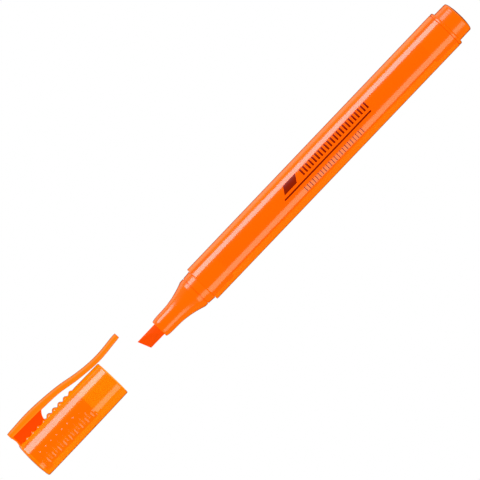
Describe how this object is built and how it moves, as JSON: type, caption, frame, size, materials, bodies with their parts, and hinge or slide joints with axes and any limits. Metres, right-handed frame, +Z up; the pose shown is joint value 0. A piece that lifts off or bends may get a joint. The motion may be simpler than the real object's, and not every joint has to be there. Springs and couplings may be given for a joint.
{
  "type": "highlighter",
  "caption": "Slim round stick highlighter with a chisel nib, a press-in rear plug and a ribbed pull-off cap with a spring clip, shown uncapped.",
  "frame": {"origin": "on the surface that the highlighter lies on, under the middle of the box round pen and cap with the cap off", "axes": "+X from the cap and nib to the pen's rear end, along the pen's axis; +Y towards the clip; +Z up from the surface"},
  "size_m": [0.176, 0.017, 0.0122],
  "materials": {
    "body_plastic": "glossy, translucent fluorescent orange",
    "cap_plastic": "glossy, translucent fluorescent orange",
    "nib_felt": "matt porous felt soaked in orange ink",
    "reservoir_fibre": "matt fibre soaked in ink",
    "reservoir_film": "thin clear film"
  },
  "bodies": {
    "pen": {"barrel": "body_plastic", "front_section": "body_plastic", "rear_plug": "body_plastic", "nib": "nib_felt", "reservoir_core": "reservoir_fibre", "reservoir_sleeve": "reservoir_film"},
    "cap": {"cap_shell": "cap_plastic", "inner_cap": "cap_plastic"},
    "clip": {"clip_arm": "cap_plastic"}
  },
  "joints": [
    {"name": "cap_slide", "type": "slide", "parent": "pen", "child": "cap", "axis": [1, 0, 0], "range_m": [0, 0.0366]},
    {"name": "clip_flex", "type": "hinge", "parent": "cap", "child": "clip", "pos_m": [-0.07558, 0.00718, 0.00609], "axis": [0, 0, 1], "range_deg": [0, 6], "stiffness_Nm_per_rad": 0.3}
  ]
}
